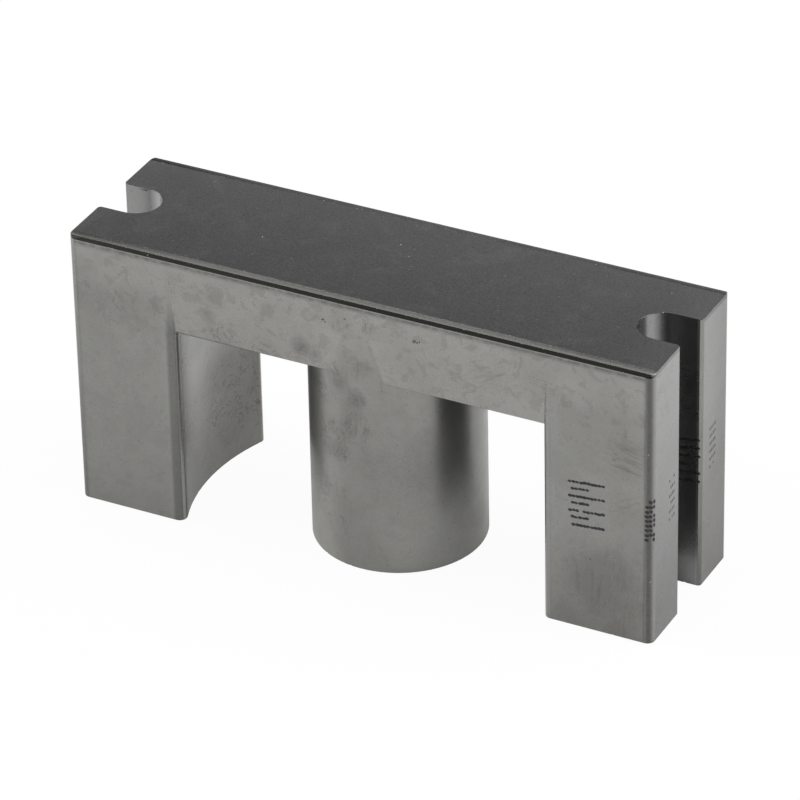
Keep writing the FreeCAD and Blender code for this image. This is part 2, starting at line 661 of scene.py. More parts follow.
def mottle_group():
    """Cloudy patches that the gases of the kiln and handling leave on the skin."""
    inputs = {"Vector": ORIGIN, "Cloud Size": 4.0, "Blotch Size": 1.2, "Offset": ORIGIN}
    tree, given = shader_tree("Kiln Mottle", inputs, ("Cloud", "Blotch", "Edge"))
    moved = vector_node(tree, "ADD", given["Vector"], given["Offset"])
    cloud_scale = math_node(tree, "DIVIDE", 1.0, given["Cloud Size"])
    blotch_scale = math_node(tree, "DIVIDE", 1.0, given["Blotch Size"])
    cloud = noise(tree, moved, cloud_scale, 4.0, 0.55, 0.6)
    blotch = noise(tree, moved, blotch_scale, 5.0, 0.6, 1.1)
    rim = math_node(tree, "ABSOLUTE", math_node(tree, "SUBTRACT", blotch, 0.52))
    results = {
        "Cloud": ramp(tree, cloud, 0.40, 0.62),
        "Blotch": ramp(tree, blotch, 0.50, 0.68),
        "Edge": ramp(tree, rim, 0.0, 0.025, 1.0, 0.0),
    }
    return finish_tree(tree, results)


def grain_group():
    """Fine sintered grain with open pores and bright crystals."""
    inputs = {"Vector": ORIGIN, "Grain Size": 0.08, "Speck Share": 0.3}
    tree, given = shader_tree("Sinter Grain", inputs, ("Height", "Speck", "Pore"))
    scale = math_node(tree, "DIVIDE", 1.0, given["Grain Size"])
    inputs = {"Vector": given["Vector"], "Scale": product(tree, scale, 0.22), "Randomness": 1.0}
    cells = node(tree, "ShaderNodeTexVoronoi", inputs).outputs
    chance = node(tree, "ShaderNodeSeparateColor", {"Color": cells["Color"]}).outputs
    near = ramp(tree, cells["Distance"], 0.10, 0.24, 1.0, 0.0)
    bright = math_node(tree, "LESS_THAN", chance["Red"], given["Speck Share"])
    dark = math_node(tree, "LESS_THAN", chance["Green"], given["Speck Share"])
    results = {
        "Height": noise(tree, given["Vector"], scale, 2.0, 0.6),
        "Speck": product(tree, near, bright),
        "Pore": product(tree, near, dark),
    }
    return finish_tree(tree, results)


def lines_group():
    """Fine parallel lines along Z of the given coordinates, broken up along their length."""
    inputs = {"Vector": ORIGIN, "Turn": ORIGIN, "Line Width": 0.12, "Line Length": 3.0}
    tree, given = shader_tree("Fine Lines", inputs, ("Height", "Line"))
    across = math_node(tree, "DIVIDE", 1.0, given["Line Width"])
    along = math_node(tree, "DIVIDE", 1.0, given["Line Length"])
    stretch = node(tree, "ShaderNodeCombineXYZ", {"X": across, "Y": across, "Z": along})
    turned = node(
        tree, "ShaderNodeMapping", {"Vector": given["Vector"], "Rotation": given["Turn"]}
    )
    stretched = vector_node(tree, "MULTIPLY", turned.outputs["Vector"], stretch.outputs[0])
    height = noise(tree, stretched, 1.0, 3.0, 0.55, 0.25)
    return finish_tree(tree, {"Height": height, "Line": ramp(tree, height, 0.56, 0.72)})


def strokes_group(lines):
    """Fine rub strokes of one direction, some thin and sharp, some broad and soft."""
    inputs = {"Vector": ORIGIN, "Turn": ORIGIN}
    tree, given = shader_tree("Rub Strokes", inputs, ("Strokes",))
    inputs = {"Vector": given["Vector"], "Turn": given["Turn"]}
    fine = group(tree, lines, {**inputs, "Line Width": 0.09, "Line Length": 0.75})
    broad = group(tree, lines, {**inputs, "Line Width": 0.26, "Line Length": 1.6})
    soft = ramp(tree, broad["Height"], 0.50, 0.74, 0.0, 0.75)
    sharp = product(tree, fine["Line"], 0.85)
    return finish_tree(tree, {"Strokes": math_node(tree, "MAXIMUM", soft, sharp)})


def patch_group():
    """A ragged round patch about one place."""
    inputs = {"Vector": ORIGIN, "Ragged": 0.5, "Centre": ORIGIN, "Reach": 1.5}
    tree, given = shader_tree("Rub Patch", inputs, ("Near",))
    away = vector_node(tree, "DISTANCE", given["Vector"], given["Centre"], result="Value")
    ratio = math_node(tree, "DIVIDE", away, given["Reach"])
    spread = math_node(tree, "ADD", ratio, given["Ragged"])
    return finish_tree(tree, {"Near": ramp(tree, spread, 0.75, 1.45, 1.0, 0.0)})


def leg_group():
    """Tells the centre leg from the drafted faces that it stands out of in an arch."""
    inputs = {"Vector": ORIGIN, "Leg Radius": CENTRE_LEG_RADIUS, "Arch Top": ARCH_TOP}
    tree, given = shader_tree("Leg And Arch", inputs, ("On Leg", "Beside Leg", "In Hollow"))
    level = vector_node(tree, "MULTIPLY", given["Vector"], (1.0, 1.0, 0.0))
    radius = vector_node(tree, "LENGTH", level, result="Value")
    height = node(tree, "ShaderNodeSeparateXYZ", {"Vector": given["Vector"]}).outputs["Z"]
    below = math_node(tree, "LESS_THAN", height, given["Arch Top"])
    under = math_node(tree, "LESS_THAN", height, YOKE_UNDERSIDE)
    off = math_node(tree, "SUBTRACT", radius, given["Leg Radius"])
    inside = ramp(tree, off, 0.004, 0.07, 1.0, 0.0)
    outside = math_node(tree, "SUBTRACT", 1.0, inside)
    from_wall = math_node(tree, "ABSOLUTE", math_node(tree, "SUBTRACT", radius, WINDOW_RADIUS))
    results = {
        "On Leg": product(tree, inside, below),
        "Beside Leg": product(tree, ramp(tree, off, 0.0, 0.9, 1.0, 0.0), outside, below),
        "In Hollow": product(tree, ramp(tree, from_wall, 0.06, 0.12, 1.0, 0.0), under),
    }
    return finish_tree(tree, results)


# Materials

def new_material(name):
    """A material, its tree, and coordinates on the object in millimetres."""
    material = bpy.data.materials.new(name)
    material.use_nodes = True
    tree = material.node_tree
    place = node(tree, "ShaderNodeTexCoord").outputs["Object"]
    return material, tree, scaled(tree, place, 1.0 / MM)


def ferrite_shader(tree, finish, colour, roughness, normal):
    """Feed a material's shader as dense fired ferrite."""
    inputs = {"Base Color": colour, "Roughness": roughness, "Normal": normal}
    inputs.update({"Metallic": finish.lustre, "IOR": FERRITE_IOR})
    feed(tree, tree.nodes["Principled BSDF"], inputs)


def mix_colour(tree, factor, first, second, blend="MIX"):
    """Mix two colours by a mask."""
    inputs = {0: factor}
    for index, colour in ((6, first), (7, second)):
        inputs[index] = (*colour, 1.0) if isinstance(colour, tuple) else colour
    return node(tree, "ShaderNodeMix", inputs, data_type="RGBA", blend_type=blend).outputs[2]


def stained(tree, colour, stain, *masks):
    """A colour under a stain, which is as strong as the product of its masks."""
    return mix_colour(tree, product(tree, *masks), colour, stain)


def bump(tree, height, strength, distance, normal=None):
    """A Bump node's normal, with its distance in millimetres."""
    inputs = {"Height": height, "Strength": strength, "Distance": distance * MM}
    if normal is not None:
        inputs["Normal"] = normal
    return node(tree, "ShaderNodeBump", inputs).outputs["Normal"]


def darker(colour, share):
    """A colour at a share of its strength."""
    return tuple(channel * share for channel in colour)


def near_patch(tree, shared, place, ragged, centre, reach):
    """The mask of one ragged patch of the skin."""
    inputs = {"Vector": place, "Ragged": ragged, "Centre": centre, "Reach": reach}
    return group(tree, shared["patch"], inputs)["Near"]


def rub_marks(tree, shared, place, ragged):
    """The strokes and the smear of all the rub patches together; one wide smear is painted shade.
    """
    smears_and_shade = []
    reaches = {}
    for centre, reach, turn, stroke, smear in RUB_AND_SHADE_PATCHES:
        near = near_patch(tree, shared, place, ragged, centre, reach)
        reaches.setdefault(turn, []).append(product(tree, near, stroke))
        smears_and_shade.append(product(tree, near, smear))
    strokes = []
    for turn, masks in reaches.items():
        angle = (0.0, math.radians(STROKE_TURNS[turn] - 90), 0.0)
        drawn = group(tree, shared["strokes"], {"Vector": place, "Turn": angle})["Strokes"]
        strokes.append(product(tree, drawn, combined(tree, "MAXIMUM", masks)))
    return combined(tree, "MAXIMUM", strokes), combined(tree, "MAXIMUM", smears_and_shade)


def place_values(tree, place):
    """The coordinates of a place, and its distances from the core's middle planes."""
    parts = node(tree, "ShaderNodeSeparateXYZ", {"Vector": place}).outputs
    values = {axis.lower(): parts[axis] for axis in "XYZ"}
    values["aside"] = math_node(tree, "ABSOLUTE", values["x"])
    values["side"] = math_node(tree, "ABSOLUTE", values["y"])
    return values


def factor_value(tree, values, factor):
    """What a factor of the tone tables comes to."""
    if isinstance(factor, str):
        return values[factor]
    if isinstance(factor, float):
        return factor
    axis, low, *others = factor
    if low in LIMITS:
        return math_node(tree, LIMITS[low], values[axis], *others)
    return ramp(tree, values[axis], low, *others)


def tone_change(tree, values, table):
    """The change of tone that a table makes."""
    terms = []
    for factors in table:
        terms.append(product(tree, *[factor_value(tree, values, each) for each in factors]))
    return combined(tree, "ADD", terms)


def dark_dabs_under_facets(tree, place, values):
    """Ragged dark dashes and dabs on the long faces, just under the facets of the back."""
    z = values["z"]
    ragged = noise(tree, place, 2.4, 4.0, 0.7)
    reach = ramp(tree, ragged, 0.35, 0.70, FACET_FOOT - 0.05, FACET_FOOT - 0.50)
    dabs = ramp(tree, math_node(tree, "SUBTRACT", z, reach), 0.0, 0.30, 0.0, 0.60)
    upper = ramp(tree, z, FACET_FOOT - 0.13, FACET_FOOT - 0.03, 1.0, 0.30)
    lower = ramp(tree, z, FACET_FOOT - 0.60, FACET_FOOT - 0.12)
    uneven = ramp(tree, ragged, 0.34, 0.58, 0.40, 1.0)
    dashes = product(tree, lower, lower, uneven)
    outside = math_node(tree, "GREATER_THAN", values["side"], HALF_WIDTH - 0.3)
    return product(tree, math_node(tree, "MAXIMUM", dabs, dashes), upper, outside)


def skin_material(
    finish, shared, name, tone, shade=1.0, gloss=0.0, marked=False, coarse=0.07, neutral=0.0
):
    """The pressed and fired skin: cloudy, smeared, drawn along the press direction."""
    material, tree, place = new_material(name)
    skin = darker(finish.skin_colour, shade)
    grey = (skin[0],) * 3
    smear = darker(finish.smear_colour, shade)
    mottle = group(tree, shared["mottle"], {"Vector": place, "Offset": (4.0, 0.0, 9.0)})
    grain = group(tree, shared["grain"], {"Vector": place, "Grain Size": 0.07, "Speck Share": 0.06})
    drawn = group(tree, shared["lines"], {"Vector": place, "Line Width": 0.22, "Line Length": 5.0})
    colour = mix_colour(tree, mottle["Cloud"], skin, darker(skin, 0.95))
    colour = stained(tree, colour, darker(smear, 0.84), mottle["Blotch"], 0.30)
    smudges = ramp(tree, noise(tree, place, 1.3, 3.0, 0.6, 0.3), 0.56, 0.74)
    colour = stained(tree, colour, darker(smear, 0.75), smudges, 0.25)
    rough = finish.skin_roughness - gloss
    roughness = math_node(tree, "MULTIPLY_ADD", mottle["Cloud"], 0.05, rough)
    veins = product(tree, mottle["Edge"], 0.07)
    lights = [ramp(tree, grain["Height"], 0.3, 0.7, 1.0 - coarse, 1.0 + coarse)]
    values = place_values(tree, place)
    values["Corner Change"] = finish.corner_shade - 1.0
    if marked:
        values.update(group(tree, shared["leg"], {"Vector": place}).items())
        ragged = product(tree, noise(tree, place, 1.1, 4.0, 0.6, 0.8), 0.9)
        # Soft patches of painted shade and smudges darken the skin
        for centre, reach, change in SHADE_AND_SMUDGE_PATCHES:
            near = near_patch(tree, shared, place, ragged, centre, reach)
            lights.append(product(tree, near, change))
        colour = stained(tree, colour, grey, factor_value(tree, values, ON_END), 0.8)
        strokes, smears_and_shade = rub_marks(tree, shared, place, ragged)
        colour = stained(tree, colour, darker(smear, 0.88), smears_and_shade, 0.75)
        under_facets_dark = dark_dabs_under_facets(tree, place, values)
        colour = stained(tree, colour, darker(smear, 0.35), under_facets_dark, 0.80)
        broken = ramp(tree, grain["Height"], 0.38, 0.58, 0.35, 1.0)
        colour = stained(tree, colour, darker(smear, 0.35), strokes, broken, 0.90)
        worn = [product(tree, strokes, 0.15), product(tree, values["On Leg"], 0.05)]
        roughness = combined(tree, "ADD", [roughness, *worn])
        high = ramp(tree, values["z"], 12.0, 15.5, 0.10, 0.45)
        front = ramp(tree, values["y"], -5.0, -2.0, 1.0, 0.15)
        stains = ramp(tree, ragged, 0.48, 0.55)
        colour = stained(tree, colour, darker(smear, 0.72), stains, high, front)
        left = ramp(tree, values["x"], 2.0, 8.0, 1.0, 0.10)
        veins = math_node(tree, "ADD", veins, product(tree, mottle["Edge"], smears_and_shade, left))
    colour = mix_colour(tree, veins, colour, darker(smear, 0.5))
    if neutral:
        colour = mix_colour(tree, neutral, colour, grey)
    colour = stained(tree, colour, darker(skin, 0.35), grain["Pore"], 0.5)
    # Painted light and shade from the tone table, with the grain's unevenness and the soft patches
    light = combined(tree, "ADD", [*lights, tone_change(tree, values, tone)])
    colour = mix_colour(tree, 1.0, colour, light, "MULTIPLY")
    normal = bump(tree, noise(tree, place, 0.45, 2.0), 0.30, 0.05)
    normal = bump(tree, product(tree, drawn["Height"], 0.5), 0.08, 0.004, normal)
    normal = bump(tree, grain["Height"], 0.30, 0.004, normal)
    ferrite_shader(tree, finish, colour, roughness, normal)
    return material


def ground_material(finish, shared):
    """The ground back and pole faces: dark and even, with grinding lines along the core."""
    material, tree, place = new_material("ground_face")
    ground = tuple(finish.ground_colour)
    sizes = {"Cloud Size": 9.0, "Blotch Size": 2.2}
    mottle = group(tree, shared["mottle"], {"Vector": place, "Offset": (1.0, 7.0, 0.0), **sizes})
    grain = group(tree, shared["grain"], {"Vector": place, "Grain Size": 0.09, "Speck Share": 0.10})
    turn = (0.0, math.radians(90), 0.0)
    inputs = {"Vector": place, "Turn": turn, "Line Width": 0.07, "Line Length": 9.0}
    lines = group(tree, shared["lines"], inputs)
    warm = (ground[0] * 0.98, ground[1] * 0.96, ground[2] * 0.95)
    colour = mix_colour(tree, mottle["Cloud"], ground, warm)
    colour = stained(tree, colour, (0.55, 0.54, 0.55), grain["Speck"], 0.35)
    colour = stained(tree, colour, darker(ground, 0.3), grain["Pore"], 0.45)
    values = place_values(tree, place)
    # Painted light: the ground faces darker towards the front edge, lighter towards the rear edge
    # and the ends
    inputs = {"Value": values["y"], "From Min": -5.6, "From Max": 5.6}
    inputs.update({"To Min": -0.15, "To Max": 0.19})
    lights = [
        ramp(tree, grain["Height"], 0.3, 0.7, 0.80, 1.20),
        node(tree, "ShaderNodeMapRange", inputs).outputs["Result"],
        ramp(tree, values["aside"], 16.5, 20.0, 0.0, 0.10),
    ]
    colour = mix_colour(tree, 1.0, colour, combined(tree, "ADD", lights), "MULTIPLY")
    rough = finish.ground_roughness
    roughness = math_node(tree, "MULTIPLY_ADD", mottle["Blotch"], 0.05, rough)
    normal = bump(tree, lines["Height"], 0.22, 0.003)
    normal = bump(tree, grain["Height"], 0.35, 0.004, normal)
    ferrite_shader(tree, finish, colour, roughness, normal)
    return material


def fracture_material(finish, shared):
    """Fresh, crystalline faces in chips and pits."""
    material, tree, place = new_material("fracture")
    grain = group(tree, shared["grain"], {"Vector": place, "Grain Size": 0.03, "Speck Share": 0.4})
    dark, light = (darker(finish.fracture_colour, share) for share in (0.55, 1.3))
    colour = mix_colour(tree, grain["Height"], dark, light)
    ferrite_shader(tree, finish, colour, 0.42, bump(tree, grain["Height"], 0.8, 0.01))
    return material


def ink_material(finish, shared, name, cover=1.0):
    """Matt black printing ink with an uneven cover; a thin one lets the skin show through."""
    material, tree, place = new_material(name)
    ink = tuple(finish.ink_colour)
    sizes = {"Cloud Size": 0.5, "Blotch Size": 0.12}
    mottle = group(tree, shared["mottle"], {"Vector": place, **sizes})
    covered = mix_colour(tree, mottle["Cloud"], ink, darker(ink, 2.5))
    bare = math_node(tree, "MULTIPLY_ADD", mottle["Blotch"], 0.15, 1.0 - cover)
    colour = mix_colour(tree, bare, covered, darker(finish.skin_colour, 0.7))
    roughness = ramp(tree, mottle["Blotch"], 0.0, 1.0, 0.42, 0.6)
    inputs = {"Base Color": colour, "Roughness": roughness, "IOR": INK_IOR}
    feed(tree, tree.nodes["Principled BSDF"], inputs)
    return material


def core_materials(finish):
    """The shared groups and the materials made with them."""
    shared = {
        "mottle": mottle_group(),
        "grain": grain_group(),
        "lines": lines_group(),
        "leg": leg_group(),
        "patch": patch_group(),
    }
    shared["strokes"] = strokes_group(shared["lines"])
    skin = partial(skin_material, finish, shared)
    # The steep facet is darkened into a painted dark reflection
    steep = {"shade": finish.facet_shade, "gloss": 0.06}
    # The shallow facet's colour is a little lighter, as painted light
    shallow = {"shade": 1.05, "gloss": -0.10, "coarse": 0.30}
    return {
        "skin": skin("fired_skin", SKIN_PAINTED_LIGHT_AND_SHADE + CORNER_PAINTED_SHADE, marked=True),
        "ground": ground_material(finish, shared),
        "worn": skin("worn_edge", RIM_PAINTED_SHADE, gloss=0.08),
        "corner": skin("rounded_corner", CORNER_PAINTED_SHADE),
        "edge": skin("rounded_edge", EDGE_PAINTED_LIGHT_AND_SHADE, shade=finish.edge_shade),
        "steep": skin("steep_facet", STEEP_FACET_LIFT, **steep),
        "smooth": skin("slot_wall", SLOT_PAINTED_LIGHT_AND_SHADE, shade=0.98, neutral=0.9),
        "shallow": skin("shallow_facet", SHALLOW_FACET_LIGHT_AND_SHADE, **shallow),
        "fracture": fracture_material(finish, shared),
        "ink": ink_material(finish, shared, "printing_ink"),
        "thin_ink": ink_material(finish, shared, "thin_printing_ink", 0.72),
    }


# Geometry Nodes trees

def random_value(tree, seed, low, high):
    """A random number between two numbers, or a random vector between two vectors."""
    first, kind = (0, "FLOAT_VECTOR") if isinstance(low, tuple) else (2, "FLOAT")
    inputs = {"Seed": seed, first: low, first + 1: high}
    return node(tree, "FunctionNodeRandomValue", inputs, data_type=kind).outputs[first // 2]


def random_choice(tree, seed, share):
    """Whether a place is among the random ones of a given share."""
    inputs = {"Seed": seed, "Probability": share}
    return node(tree, "FunctionNodeRandomValue", inputs, data_type="BOOLEAN").outputs[3]


def copies(tree, points, instance, **inputs):
    """Real copies of a geometry on points."""
    inputs = {"Points": points, "Instance": instance, **inputs}
    placed = node(tree, "GeometryNodeInstanceOnPoints", inputs).outputs["Instances"]
    return node(tree, "GeometryNodeRealizeInstances", {"Geometry": placed}).outputs["Geometry"]


def set_position(tree, geometry, **inputs):
    """A geometry with its points at a Position, or moved by an Offset."""
    inputs = {"Geometry": geometry, **inputs}
    return node(tree, "GeometryNodeSetPosition", inputs).outputs["Geometry"]


def stored(tree, geometry, name, value, kind):
    """A geometry that keeps a value at each of its points under a name."""
    inputs = {"Geometry": geometry, "Name": name, "Value": value}
    settings = {"data_type": kind, "domain": "POINT"}
    return node(tree, "GeometryNodeStoreNamedAttribute", inputs, **settings).outputs["Geometry"]


def kept_value(tree, name, kind):
    """What is kept at the points under a name."""
    made = node(tree, "GeometryNodeInputNamedAttribute", {"Name": name}, data_type=kind)
    return made.outputs["Attribute"]


def stones_on(tree, points, given, chosen, size):
    """Rough stones of the given sizes on points, realised and roughened."""
    seed = given["Seed"]
    stone = node(tree, "GeometryNodeMeshIcoSphere", {"Radius": 1.0, "Subdivisions": 2})
    turn = random_value(tree, seed, (0.0,) * 3, (math.tau,) * 3)
    squash = random_value(tree, seed, (0.7,) * 3, (1.25,) * 3)
    inputs = {"Selection": chosen, "Rotation": turn, "Scale": scaled(tree, squash, size)}
    real = copies(tree, points, stone.outputs["Mesh"], **inputs)
    rough = node(tree, "ShaderNodeTexNoise", {"Scale": 14.0, "Detail": 1.0}).outputs["Color"]
    centred = vector_node(tree, "SUBTRACT", rough, (0.5, 0.5, 0.5))
    return set_position(tree, real, Offset=scaled(tree, centred, given["Roughening"]))


def sizes_between(tree, given):
    """Sizes from Smallest to Largest, most of them near the smallest."""
    rare = math_node(tree, "POWER", random_value(tree, given["Seed"], 0.0, 1.0), 3.0)
    inputs = {"Value": rare, "To Min": given["Smallest"], "To Max": given["Largest"]}
    return node(tree, "ShaderNodeMapRange", inputs).outputs["Result"]


def close_tree(tree, given, geometry):
    """Give the geometry its material and end the tree."""
    inputs = {"Geometry": geometry, "Material": given["Material"]}
    coloured = node(tree, "GeometryNodeSetMaterial", inputs)
    return finish_tree(tree, {"Geometry": coloured.outputs["Geometry"]})


def edge_chips_tree():
    """Stones along edges, each set so that it bites into the edge."""
    inputs = {"Spacing": 0.5, "Share": 0.5, "Smallest": 0.03, "Largest": 0.15}
    inputs.update({"Stand Off": 0.7, "Roughening": 0.03})
    tree, given = geometry_tree("Edge Chips", inputs)
    seed = given["Seed"]
    curve = node(tree, "GeometryNodeMeshToCurve", {"Mesh": given["Geometry"]}).outputs["Curve"]
    inputs = {"Curve": curve, "Length": given["Spacing"]}
    places = node(tree, "GeometryNodeResampleCurve", inputs, mode="LENGTH").outputs["Curve"]
    size = sizes_between(tree, given)
    outward = kept_value(tree, "outward", "FLOAT_VECTOR")
    off = scaled(tree, outward, product(tree, size, given["Stand Off"]))
    tangent = node(tree, "GeometryNodeInputTangent").outputs["Tangent"]
    slide = product(tree, random_value(tree, seed, -0.5, 0.5), given["Spacing"])
    shift = vector_node(tree, "ADD", off, scaled(tree, tangent, slide))
    moved = set_position(tree, places, Offset=shift)
    chosen = random_choice(tree, seed, given["Share"])
    return close_tree(tree, given, stones_on(tree, moved, given, chosen, size))


def surface_pits_tree():
    """Small stones scattered over a surface, each sunk in part."""
    inputs = {"Density": 0.05, "Smallest": 0.02, "Largest": 0.07}
    inputs.update({"Stand Off": 0.3, "Roughening": 0.02})
    tree, given = geometry_tree("Surface Pits", inputs)
    inputs = {"Mesh": given["Geometry"], "Density": given["Density"], "Seed": given["Seed"]}
    spread = node(tree, "GeometryNodeDistributePointsOnFaces", inputs).outputs
    size = sizes_between(tree, given)
    off = scaled(tree, spread["Normal"], product(tree, size, given["Stand Off"]))
    moved = set_position(tree, spread["Points"], Offset=off)
    return close_tree(tree, given, stones_on(tree, moved, given, True, size))


def printed_dots_tree():
    """Strokes of printed dots, cast onto a surface along a direction."""
    inputs = {
        "Surface": "NodeSocketObject",
        "Centre": ORIGIN,
        "Facing": (0.0, -1.0, 0.0),
        "Strokes": 4,
        "Dots": 5,
        "Dot Pitch": 0.3,
        "Stroke Pitch": 0.5,
        "Lean": 0.1,
        "Dot Radius": 0.1,
        "Ink Thickness": 0.005,
        "Spread": 0.02,
        "Share": 0.9,
    }
    tree, given = geometry_tree("Printed Dots", inputs)
    seed = given["Seed"]
    # A stroke is a leaning row of dots across the patch, and the strokes go down it one by one
    lines = []
    steps = ({"X": given["Dot Pitch"], "Y": given["Lean"]}, {"Y": given["Stroke Pitch"]})
    for count, step in zip(("Dots", "Strokes"), steps):
        offset = node(tree, "ShaderNodeCombineXYZ", step).outputs[0]
        inputs = {"Count": given[count], "Offset": offset}
        lines.append(node(tree, "GeometryNodeMeshLine", inputs).outputs["Mesh"])
    row, column = lines
    real = copies(tree, column, row)
    box = node(tree, "GeometryNodeBoundBox", {"Geometry": real}).outputs
    back_off = scaled(tree, vector_node(tree, "ADD", box["Min"], box["Max"]), -0.5)
    jitter = random_value(tree, seed, (-1.0, -1.0, 0.0), (1.0, 1.0, 0.0))
    shift = vector_node(tree, "ADD", back_off, scaled(tree, jitter, given["Spread"]))
    centred = set_position(tree, real, Offset=shift)
    # The patch stands upright before the surface, and its X axis lies level
    inputs = {"Primary Axis": given["Facing"], "Secondary Axis": (0.0, 0.0, 1.0)}
    axes = {"primary_axis": "Z", "secondary_axis": "Y"}
    facing = node(tree, "FunctionNodeAxesToRotation", inputs, **axes).outputs["Rotation"]
    start = vector_node(tree, "ADD", given["Centre"], given["Facing"])
    inputs = {"Geometry": centred, "Translation": start, "Rotation": facing}
    stood = node(tree, "GeometryNodeTransform", inputs).outputs["Geometry"]
    surface = node(tree, "GeometryNodeObjectInfo", {"Object": given["Surface"]})
    surface = surface.outputs["Geometry"]
    inward = scaled(tree, given["Facing"], -1.0)
    inputs = {"Target Geometry": surface, "Ray Direction": inward, "Ray Length": 3.0}
    cast = node(tree, "GeometryNodeRaycast", inputs).outputs
    inputs = {0: cast["Is Hit"], 1: random_choice(tree, seed, given["Share"])}
    hit = node(tree, "FunctionNodeBooleanMath", inputs, operation="AND").outputs["Boolean"]
    marked = stored(tree, stood, "surface_normal", cast["Hit Normal"], "FLOAT_VECTOR")
    marked = stored(tree, marked, "printed", hit, "BOOLEAN")
    landed = set_position(tree, marked, Position=cast["Hit Position"])
    normal = kept_value(tree, "surface_normal", "FLOAT_VECTOR")
    upright = node(tree, "FunctionNodeAlignRotationToVector", {"Vector": normal}, axis="Z")
    # Each dot starts as a short post through the surface, and its two ends are then laid
    # on the surface: one an ink thickness over it, the other as far under it
    inputs = {"Vertices": 12, "Fill Segments": 3, "Radius": given["Dot Radius"], "Depth": 0.2}
    post = node(tree, "GeometryNodeMeshCylinder", inputs).outputs["Mesh"]
    length = random_value(tree, seed, 1.0, 1.35)
    width = random_value(tree, seed, 0.75, 0.95)
    inputs = {
        "Selection": kept_value(tree, "printed", "BOOLEAN"),
        "Rotation": upright.outputs["Rotation"],
        "Scale": node(tree, "ShaderNodeCombineXYZ", {0: length, 1: width, 2: 1.0}).outputs[0],
    }
    posts = copies(tree, landed, post, **inputs)
    near = node(tree, "GeometryNodeProximity", {0: surface}, target_element="FACES")
    near = near.outputs["Position"]
    position = node(tree, "GeometryNodeInputPosition").outputs["Position"]
    away = vector_node(tree, "SUBTRACT", position, near)
    over = vector_node(tree, "DOT_PRODUCT", away, normal, result="Value")
    lift = product(tree, math_node(tree, "SIGN", over), given["Ink Thickness"])
    laid = vector_node(tree, "ADD", near, scaled(tree, normal, lift))
    return close_tree(tree, given, set_position(tree, posts, Position=laid))


# Mesh work on the core, in millimetres

def link_object(name, mesh):
    """Put a mesh into the scene as an object at the origin."""
    made = bpy.data.objects.new(name, mesh)
    bpy.context.scene.collection.objects.link(made)
    return made


def drop_object(made):
    """Take a helper object out of the scene again."""
    mesh = made.data
    bpy.data.objects.remove(made)
    bpy.data.meshes.remove(mesh)


def evaluated_mesh(made):
    """A plain mesh of the object with its modifiers applied."""
    graph = bpy.context.evaluated_depsgraph_get()
    return bpy.data.meshes.new_from_object(made.evaluated_get(graph), depsgraph=graph)


def grow(made, tree, values):
    """Run a Geometry Nodes tree on an object and return the plain result."""
    modifier = made.modifiers.new(tree.name, "NODES")
    modifier.node_group = tree
    for item in tree.interface.items_tree:
        if item.item_type == "SOCKET" and item.in_out == "INPUT" and item.name in values:
            modifier[item.identifier] = values[item.name]
    mesh = evaluated_mesh(made)
    made.modifiers.remove(modifier)
    return mesh


def clean_core():
    """The solid's mesh with its triangles merged into whole faces, in millimetres."""
    core = bmesh.new()
    core.from_mesh(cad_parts[CORE_NODE].data)
    bmesh.ops.scale(core, vec=(1 / MM,) * 3, verts=core.verts)
    bmesh.ops.remove_doubles(core, verts=core.verts, dist=0.0001)
    bmesh.ops.dissolve_limit(
        core,
        angle_limit=FLAT,
        use_dissolve_boundaries=False,
        verts=core.verts,
        edges=core.edges,
    )
    return core


def ground_level(height):
    """Whether a height is that of the back or the pole faces."""
    return min(abs(height - CORE_LOW.z), abs(height - CORE_HIGH.z)) < 0.001


def is_corner(face):
    """Whether a face belongs to a rounded upright edge, and not to the leg, window or slots."""
    across = face.normal
    middle = face.calc_center_median()
    # The rounding along the underside of the yoke
    if -0.99 < across.z < -0.12 and middle.z < YOKE_UNDERSIDE + 0.2:
        return True
    if abs(across.z) > 0.1 or min(abs(across.x), abs(across.y)) < 0.05:
        return False
    radius = math.hypot(middle.x, middle.y)
    slot = math.hypot(abs(middle.x) - SLOT_CENTRE, middle.y)
    round_faces = ((radius, CENTRE_LEG_RADIUS), (radius, WINDOW_RADIUS), (slot, SLOT_RADIUS))
    return all(abs(found - nominal) > NEAR_ROUND for found, nominal in round_faces)


def in_slot(place):
    """Whether a place is on the walls of a clamp slot."""
    inner = SLOT_CENTRE - SLOT_RADIUS - 0.01
    return inner < abs(place.x) < HALF_LENGTH - 0.01 and abs(place.y) < SLOT_RADIUS + 0.01


def mark_faces(core):
    """Give each face its finish by its direction and place."""
    core.normal_update()
    for face in core.faces:
        rise = face.normal.z
        middle = face.calc_center_median()
        face.material_index = SKIN
        if abs(rise) > 0.999 and ground_level(middle.z):
            face.material_index = GROUND
        elif middle.z > FACET_ZONE and 0.2 < rise < 0.95:
            face.material_index = STEEP
        elif middle.z > FACET_ZONE and rise > 0.95:
            face.material_index = SHALLOW
        elif is_corner(face):
            outer = middle.x > SLOT_CENTRE and abs(middle.y) > 2 * SLOT_RADIUS
            face.material_index = CORNER if outer else EDGE
        elif in_slot(middle):
            face.material_index = SMOOTH


def wire_of(edges, name):
    """A wire mesh of some edges, which carries the outward direction at each point."""
    points = {}
    lines = []
    for edge in edges:
        for corner in edge.verts:
            if corner not in points:
                points[corner] = (len(points), Vector())
            outward = points[corner][1]
            outward += edge.link_faces[0].normal + edge.link_faces[1].normal
        lines.append([points[corner][0] for corner in edge.verts])
    mesh = bpy.data.meshes.new(name)
    mesh.from_pydata([corner.co for corner in points], lines, [])
    directions = mesh.attributes.new("outward", "FLOAT_VECTOR", "POINT")
    for index, outward in points.values():
        directions.data[index].vector = outward.normalized()
    return link_object(name, mesh)


